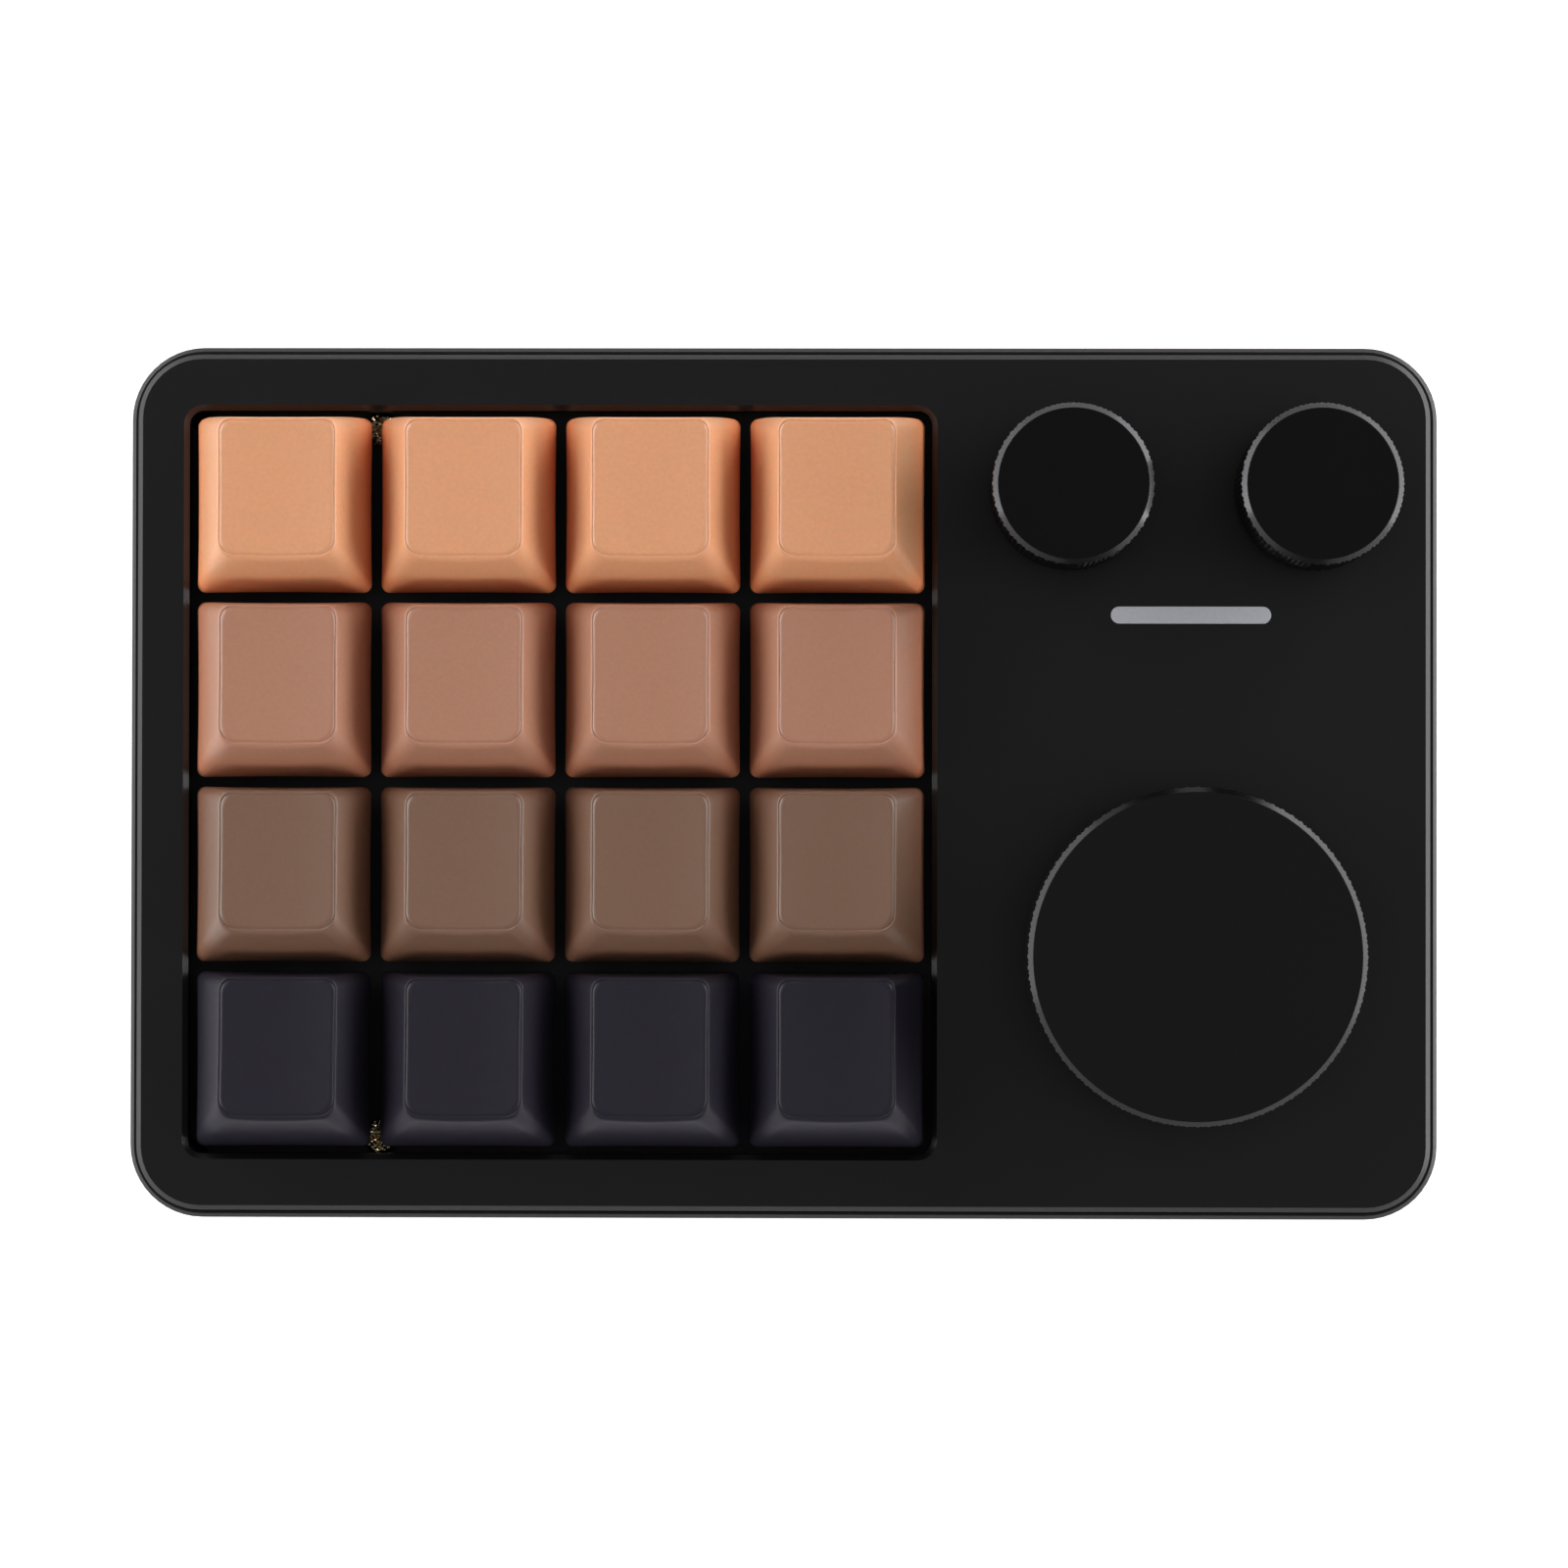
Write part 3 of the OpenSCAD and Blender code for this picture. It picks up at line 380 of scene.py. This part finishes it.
# in mm and degrees, as in the CAD, which has one radius for all the corners of the top face
CAP_W, TOP_W, TOP_L, TOP_BACK = 18.05, 12.0, 14.2, 1.4
HEIGHTS = [9.2, 7.8, 7.15, 7.2]
SLOPES = [0, 2, 4, 7]
DISH, DISH_HALF = 0.6, 6.3
PINCH, BULGE, SKIRT_R, WALL, ROOF = 0.08, 0.15, 0.9, 1.45, 1.1
TOP_R_FRONT, TOP_R_REAR = 1.8, 1.4
INSET_SHARE, LEAST_R = 0.6, 0.3      # share of an inset that comes off a corner; its least radius
POST_R, POST_Z = 2.75, 0.7
CROSS_REACH, CROSS_HALF = 2.05, 0.65

# in mm, finer than in the CAD
FOOT_R, CREST_R, CREST_SOFT = 0.12, 0.10, 0.3     # the crest is rounder at the front and rear
CREST_REACH = 1.3                    # how far the rounding reaches from the border, in radii
LINE_W, LINE_DEPTH = 0.09, 0.06      # mould line just inside the border of the top face
LINE_FROM = 0.42                     # share of the top's width beyond which the line is duller
# the crest tightens, and the line deepens, with this power of the way from the middle to a side
SIDE_POWER = 4

# points round each corner and side, rings up the side, and shares at which the other rings lie
CORNER_N, SIDE_N, SIDE_STEPS = 9, 9, 22
HOLLOW_LEVELS = (0.94, 0.7, 0.4, 0.15, 0.0)
FOOT_ANGLES = (0, 30, 60, 90)
CREST_STEPS = (0.25, 0.5, 0.75, 1.0)
DISH_SHARES = (0.9, 0.8, 0.67, 0.52, 0.36, 0.2, 0.08)
BORDER_FROM, HALVINGS = 0.8, 16      # where the search for the border starts, and its steps


def outline(l, w, r_front, r_rear, pinch, back):
    """Points round a rounded rectangle, anticlockwise from the rear end of its right side."""
    pts = []
    for q in range(4):
        sx = 1 if q in (0, 3) else -1
        sy = 1 if q < 2 else -1
        r = r_rear if q < 2 else r_front
        after = r_rear if q in (3, 0) else r_front
        for i in range(CORNER_N):
            a = math.radians(q * 90 + 90 * i / (CORNER_N - 1))
            x, y = sx * (l / 2 - r) + r * math.cos(a), sy * (w / 2 - r) + r * math.sin(a)
            pts.append((x, y + back))
        for i in range(1, SIDE_N):
            t = i / SIDE_N
            bow = 4 * t * (1 - t) * pinch
            if q % 2 == 0:
                pts.append((sx * (l / 2 - r) * (1 - 2 * t), sy * (w / 2 - bow) + back))
            else:
                start, end = sy * (w / 2 - r), -sy * (w / 2 - after)
                pts.append((sx * (l / 2 - bow), start + (end - start) * t + back))
    return pts


def cap_ring(t, height, slope, inset=0.0):
    """The cap's side at share t of its height."""
    ease = t - BULGE * math.sin(math.pi * t)
    l = CAP_W + (TOP_W - CAP_W) * ease - 2 * inset
    w = CAP_W + (TOP_L - CAP_W) * ease - 2 * inset
    front, rear = (max(SKIRT_R + (r - SKIRT_R) * t - INSET_SHARE * inset, LEAST_R)
                   for r in (TOP_R_FRONT, TOP_R_REAR))
    ring = outline(l, w, front, rear, PINCH * (1 - t), TOP_BACK * ease)
    return [(x, y, t * (height - (y - TOP_BACK) * math.tan(slope))) for x, y in ring]


def dish_z(x, y, height, slope):
    radius = DISH_HALF ** 2 / (2 * DISH) + DISH / 2
    drop = DISH - (radius - math.sqrt(max(radius ** 2 - x * x, 0)))
    return height - (y - TOP_BACK) * math.tan(slope) - drop / math.cos(slope)


def border_shares(height, slope):
    """For each point round the cap, the share of its height at which its side meets the dish."""
    n = len(cap_ring(1, height, slope))
    low, high = [BORDER_FROM] * n, [1.0] * n
    for _ in range(HALVINGS):
        mids = [(a + b) / 2 for a, b in zip(low, high)]
        for j, t in enumerate(mids):
            x, y, z = cap_ring(t, height, slope)[j]
            if z < dish_z(x, y, height, slope):
                low[j] = t
            else:
                high[j] = t
    return [(a + b) / 2 for a, b in zip(low, high)]


def post_mesh(roof, verts, faces):
    """Round post with the socket for the stem's cross, its top end inside the cap's roof."""
    a, b = CROSS_REACH, CROSS_HALF
    quarter = [(a, 0), (a, b), (b, b), (b, a)]
    inner = []
    for k in range(4):
        c, s = round(math.cos(k * math.pi / 2)), round(math.sin(k * math.pi / 2))
        inner += [(x * c - y * s, x * s + y * c) for x, y in quarter]
    outer = [(POST_R * x / math.hypot(x, y), POST_R * y / math.hypot(x, y)) for x, y in inner]
    n, base = len(inner), len(verts)
    for ring, z in ((inner, POST_Z), (outer, POST_Z), (outer, roof), (inner, roof)):
        verts += [(x, y, z) for x, y in ring]
    for k in range(4):
        for j in range(n):
            i, m = (j + 1) % n, (k + 1) % 4
            faces.append((base + k * n + j, base + k * n + i, base + m * n + i, base + m * n + j))


def cap_mesh(height, slope):
    """One row's cap: points in mm over the middle of its skirt, faces, the faces of its mould line
    and the first face of its post."""
    rings = []
    inside = height - DISH - ROOF
    for t in HOLLOW_LEVELS:
        ring = cap_ring(t * inside / height, height, slope, WALL)
        ceiling = [inside - (y - TOP_BACK) * math.tan(slope) for _, y, _ in ring]
        rings.append([(x, y, min(z, top)) for (x, y, z), top in zip(ring, ceiling)])
    for angle in FOOT_ANGLES:
        a = math.radians(angle)
        ring = cap_ring(0, height, slope, FOOT_R * (1 - math.sin(a)))
        rings.append([(x, y, FOOT_R * (1 - math.cos(a))) for x, y, _ in ring])
    border = border_shares(height, slope)
    n = len(border)
    edge = [Vector(cap_ring(t, height, slope)[j]) for j, t in enumerate(border)]
    centre = Vector((0, TOP_BACK))

    def on_dish(p, share, back=0.0):
        """A point of the dish between its middle (0) and the border (1), or back mm in from it."""
        v = p.xy - centre
        v *= share * (1 - back / v.length)
        x, y = v + centre
        return Vector((x, y, dish_z(x, y, height, slope)))

    # the side stops short of the border by the crest's rounding
    sideways = [min(1, abs(p.x) / (TOP_W / 2 - CREST_R)) ** SIDE_POWER for p in edge]
    crest = [CREST_REACH * (CREST_SOFT + (CREST_R - CREST_SOFT) * s) for s in sideways]
    last = [t - r / height for t, r in zip(border, crest)]
    for step in range(1, SIDE_STEPS + 1):
        share = step / SIDE_STEPS
        rings.append([cap_ring(t * share, height, slope)[j] for j, t in enumerate(last)])
    below = [Vector(p) for p in rings[-1]]
    inner = [on_dish(p, 1, r) for p, r in zip(edge, crest)]
    for u in CREST_STEPS:
        rings.append([a * (1 - u) ** 2 + b * 2 * u * (1 - u) + c * u * u
                      for a, b, c in zip(below, edge, inner)])
    line = len(rings) - 1

    def line_floor(j, side):
        """A point on the floor of the mould line, which runs out towards the front and the rear."""
        deep = LINE_DEPTH * sideways[j]
        back = crest[j] + (LINE_W + side * (LINE_W - deep / 3)) / 2
        return on_dish(edge[j], 1, back) - Vector((0, 0, deep))

    rings += [[line_floor(j, side) for j in range(n)] for side in (-1, 1)]
    rings.append([on_dish(p, 1, r + LINE_W) for p, r in zip(edge, crest)])
    rings += [[on_dish(p, share) for p in edge] for share in DISH_SHARES]

    verts = [tuple(v) for ring in rings for v in ring]
    faces = []
    for i in range(len(rings) - 1):
        for j in range(n):
            a, b = i * n + j, i * n + (j + 1) % n
            faces.append((a, b, b + n, a + n))
    top, roof = len(verts), len(verts) + 1
    verts += [tuple(on_dish(edge[0], 0)), (0, TOP_BACK, inside)]
    base = (len(rings) - 1) * n
    for j in range(n):
        faces.append((base + j, base + (j + 1) % n, top))
        faces.append((roof, (j + 1) % n, j))
    post = len(faces)
    post_mesh(inside + ROOF / 2, verts, faces)
    beside = [j for j, p in enumerate(edge) if abs(p.x) > LINE_FROM * TOP_W]
    line_faces = {(line + k) * n + j for k in range(3) for j in beside}
    return verts, faces, line_faces, post


def build_caps(row):
    verts, faces, line_faces, post = cap_mesh(HEIGHTS[row - 1], math.radians(SLOPES[row - 1]))
    mats = [MATS[f"keycap_row_{row}"].m, MATS[f"keycap_row_{row}_line"].m]
    for col in range(1, 5):
        name = f"keycap_r{row}c{col}"
        lo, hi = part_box(name)
        obj = add_object(name + "_skin", placed(verts, *middle(lo, hi), lo.z), faces, mats)
        for p in obj.data.polygons:
            in_line = p.index in line_faces
            p.use_smooth = p.index < post and not in_line
            p.material_index = int(in_line)
        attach(obj, f"key_r{row}c{col}")
        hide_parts(name)


for row in range(1, 5):
    build_caps(row)

# ---------------------------------------------------------------- switch springs

KEY_TRAVEL, SPRING_REACH = 0.004, 0.003     # metres; the reach is from the middle of the stem


def build_spring(row, col):
    """One key's spring as a piece of its own."""
    coils = NODES["switch_springs"].data
    x0, y0 = middle(*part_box(f"stem_r{row}c{col}"))
    index = {}
    for v in coils.vertices:
        if max(abs(v.co.x - x0), abs(v.co.y - y0)) < SPRING_REACH:
            index[v.index] = len(index)
    verts = [tuple(coils.vertices[i].co) for i in index]
    faces = [[index[i] for i in p.vertices] for p in coils.polygons if p.vertices[0] in index]
    obj = add_object(f"spring_r{row}c{col}", verts, faces, [MATS["spring_steel"].m])
    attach(obj, "case")
    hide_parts("switch_springs")
    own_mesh(obj)


for row in range(1, 5):
    for col in range(1, 5):
        build_spring(row, col)

# ---------------------------------------------------------------- knobs

KNURL_RISE = KNURL_PITCH / math.tan(math.radians(KNURL_HELIX))   # height of one diamond
SAMPLES = 6                          # columns and rows over one diamond
EDGE = 0.04                          # rounding of a knob's sharp edges
CREST_SHY = 0.005                    # how far the knurl's crests stay inside the CAD's
FACE_SHARES = (0.9, 0.6, 0.3)        # rings of the top face, as shares of its radius
RIM_ROUNDS = 6                       # rounds in which the rim settles


def knurl_cut(share, z):
    """Depth of two sets of crossing grooves, at a share of a pitch along the girth and a height."""
    half = (1 - KNURL_LAND) / 2
    deepest = 0.0
    for way in (1, -1):
        off = abs((share + way * z / KNURL_RISE + 0.5) % 1 - 0.5)
        deepest = max(deepest, 1 - off / half)
    return KNURL_DEPTH * deepest


def knob_rings(radius, height):
    """Rings of points, in mm, from the top of the shaft's bore round the outside to the top face,
    and the first and last ring of the knurl."""
    n = int(2 * math.pi * radius / KNURL_PITCH) * SAMPLES
    angles = [2 * math.pi * j / n for j in range(n)]
    collar = radius - KNURL_DEPTH - FIT
    flat_r = radius - KNOB_CHAMFER

    def polar(radii, heights):
        return [(r * math.cos(a), r * math.sin(a), z) for r, a, z in zip(radii, angles, heights)]

    def ring(r, z):
        return polar([r] * n, [z] * n)

    def bore(z):
        """Round, with the flat of the shaft towards the rear."""
        flat = SHAFT_FLAT - SHAFT_R + FIT
        return polar([min(SHAFT_R + FIT, flat / max(math.sin(a), 0.01)) for a in angles], [z] * n)

    def wall(heights):
        return polar([radius - knurl_cut(j / SAMPLES, z) for j, z in enumerate(heights)], heights)

    rings = [bore(BORE_TOP), bore(0), ring(HUB_R, 0), ring(HUB_R, KNOB_RECESS),
             ring(radius - KNOB_RIM, KNOB_RECESS), ring(radius - KNOB_RIM, 0),
             ring(collar - EDGE, 0), ring(collar, EDGE), ring(collar, COLLAR)]
    first = len(rings)
    step = KNURL_RISE / SAMPLES
    shoulder = height - KNOB_CHAMFER
    rows = int((shoulder - step / 3 - COLLAR) / step)     # the last row stays clear of the rim
    rings += [wall([COLLAR + step * k] * n) for k in range(rows + 1)]
    # the chamfer's cone cuts the grooves higher up than the crests between them
    rim = [shoulder] * n
    for _ in range(RIM_ROUNDS):
        rim = [shoulder + knurl_cut(j / SAMPLES, z) for j, z in enumerate(rim)]
    rings.append(wall(rim))
    last = len(rings) - 1
    rings += [ring(flat_r + EDGE / 2, height - EDGE / 2), ring(flat_r - EDGE, height)]
    rings += [ring(flat_r * share, height) for share in FACE_SHARES]
    return rings, first, last


def knob_mesh(radius, height):
    rings, first, last = knob_rings(radius, height)
    n = len(rings[0])
    verts = [p for ring in rings for p in ring]
    faces = []
    for i in range(len(rings) - 1):
        for j in range(n):
            a, b = i * n + j, i * n + (j + 1) % n
            c, d = b + n, a + n
            if not first <= i < last:
                faces.append((a, b, c, d))
                continue
            # fold each cell along its groove or crest, not across it
            r = {v: math.hypot(*verts[v][:2]) for v in (a, b, c, d)}
            if (abs(r[a] - r[c]), r[a] + r[c]) <= (abs(r[b] - r[d]), r[b] + r[d]):
                faces += [(a, b, c), (a, c, d)]
            else:
                faces += [(a, b, d), (b, c, d)]
    base, top, bore = (len(rings) - 1) * n, len(verts), len(verts) + 1
    verts += [(0, 0, height), (0, 0, BORE_TOP)]
    for j in range(n):
        faces.append((base + j, base + (j + 1) % n, top))
        faces.append(((j + 1) % n, j, bore))
    return verts, faces


def build_knob(which):
    name = f"knob_{which}"
    lo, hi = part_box(name)
    verts, faces = knob_mesh((hi.x - lo.x) / 2 / MM - CREST_SHY, (hi.z - lo.z) / MM)
    mats = [NODES[name].data.materials[0]]
    obj = add_object(name + "_turned", placed(verts, *middle(lo, hi), lo.z), faces, mats)
    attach(obj, f"knob_{which}")
    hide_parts(name)


for which in ("left", "right", "main"):
    build_knob(which)

# ---------------------------------------------------------------- stage, light and camera

FLOOR_HALF, FLOOR_DROP = 4, 0.00002  # metres: half its side, and how far it lies under the feet
FLOOR_TONE, FLOOR_GLOW = 0.82, 0.55


def linked(tree, kind, *values, **settings):
    """A new node of a tree, its first inputs filled with values or linked to other outputs."""
    n = tree.nodes.new(kind)
    for key, value in settings.items():
        setattr(n, key, value)
    for socket, value in zip(n.inputs, values):
        if isinstance(value, (float, tuple)):
            socket.default_value = value
        else:
            tree.links.new(value, socket)
    return n


def floor_material():
    """White to the camera and in reflections, as far as the object's shadow leaves it."""
    mat = bpy.data.materials.new("floor")
    mat.use_nodes = True
    tree = mat.node_tree
    tree.nodes.clear()
    rays = linked(tree, "ShaderNodeLightPath").outputs
    seen = rays["Is Camera Ray"]
    for other in ("Is Glossy Ray", "Is Transmission Ray"):
        both = linked(tree, "ShaderNodeMath", seen, rays[other], operation="ADD", use_clamp=True)
        seen = both.outputs[0]
    strength = linked(tree, "ShaderNodeMath", seen, FLOOR_GLOW, operation="MULTIPLY")
    glow = linked(tree, "ShaderNodeEmission", (*WHITE, 1.0), strength.outputs[0])
    diffuse = linked(tree, "ShaderNodeBsdfDiffuse", (FLOOR_TONE, FLOOR_TONE, FLOOR_TONE, 1.0))
    total = linked(tree, "ShaderNodeAddShader", diffuse.outputs[0], glow.outputs[0])
    linked(tree, "ShaderNodeOutputMaterial", total.outputs[0])
    return mat


corners = [(x * FLOOR_HALF, y * FLOOR_HALF, 0) for x, y in ((-1, -1), (1, -1), (1, 1), (-1, 1))]
floor = add_object("floor", corners, [(0, 1, 2, 3)], [floor_material()])
floor.location.z = -FLOOR_DROP

# a tent that is pale low down at the left and right, darker at the front, rear and overhead
TENT_STOPS = [(0.0, 0.62), (0.3, 0.5), (0.7, 0.2), (0.9, 0.6), (1.0, 0.67)]     # height, tone
TENT_BLUE = 1.02
TENT_MIDDLE, TENT_SIDE = 0.25, 1.75  # level from front to rear, and what is added at the sides

world = bpy.data.worlds.new("studio")
bpy.context.scene.world = world
world.use_nodes = True
tent = world.node_tree
generated = linked(tent, "ShaderNodeTexCoord").outputs["Generated"]
way = linked(tent, "ShaderNodeSeparateXYZ", generated).outputs
ramp = linked(tent, "ShaderNodeValToRGB", way["Z"])
for position, _ in TENT_STOPS[1:-1]:
    ramp.color_ramp.elements.new(position)
for element, (position, value) in zip(ramp.color_ramp.elements, TENT_STOPS):
    element.position = position
    element.color = (value, value, value * TENT_BLUE, 1)
square = linked(tent, "ShaderNodeMath", way["X"], way["X"], operation="MULTIPLY").outputs[0]
level = linked(tent, "ShaderNodeMath", square, TENT_SIDE, TENT_MIDDLE, operation="MULTIPLY_ADD")
for node, socket in ((ramp, 0), (level, 1)):
    tent.links.new(node.outputs[0], tent.nodes["Background"].inputs[socket])

# azimuth (0 at the right, +X, and 90 at the rear), elevation, distance, width, height, radiance and
# whether it shows in reflections; degrees and metres
SOFTBOXES = {
    "soft_right": (18, 18, 0.6, 1.0, 0.36, 5.1, True),
    "soft_left": (162, 24, 0.6, 0.9, 0.36, 4.1, True),
    "soft_front": (-90, 41, 1.1, 1.0, 0.4, 4.4, False),
    "soft_rear": (90, 30, 1.1, 1.0, 0.3, 0.3, True),
}


def softbox(name, azimuth, elevation, distance, width, height, radiance, mirrored):
    """Rectangular soft light, aimed at the keypad."""
    light = bpy.data.lights.new(name, "AREA")
    light.shape = "RECTANGLE"
    light.size, light.size_y = width, height
    light.energy = radiance * math.pi * width * height
    obj = bpy.data.objects.new(name, light)
    a, e = math.radians(azimuth), math.radians(elevation)
    towards = Vector((math.cos(a) * math.cos(e), math.sin(a) * math.cos(e), math.sin(e)))
    obj.location = towards * distance
    obj.rotation_euler = (-obj.location).to_track_quat("-Z", "Y").to_euler()
    obj.visible_camera = False
    obj.visible_glossy = mirrored
    bpy.context.scene.collection.objects.link(obj)


for name, numbers in SOFTBOXES.items():
    softbox(name, *numbers)

# fitted to the edges of the caps, case and cover in the photograph; mm and radians
LENS, SENSOR = 139.028, 36.0
CAMERA_AT = (8.33, -9.439, 645.956)
CAMERA_TILT = (0.014905, 0.013146, 0.001794)

lens = bpy.data.cameras.new("camera")
lens.lens, lens.sensor_width = LENS, SENSOR
lens.clip_start, lens.clip_end = 0.05, 20
camera = bpy.data.objects.new("camera", lens)
camera.location = [v * MM for v in CAMERA_AT]
camera.rotation_euler = Euler(CAMERA_TILT, "XYZ")
bpy.context.scene.collection.objects.link(camera)
bpy.context.scene.camera = camera
bpy.context.scene.view_settings.view_transform = "Standard"

CASE_EDGE = 0.00008                  # rounding of the case halves' edges, in metres
for name in ("top_case", "bottom_case"):
    soften(NODES[name], CASE_EDGE)
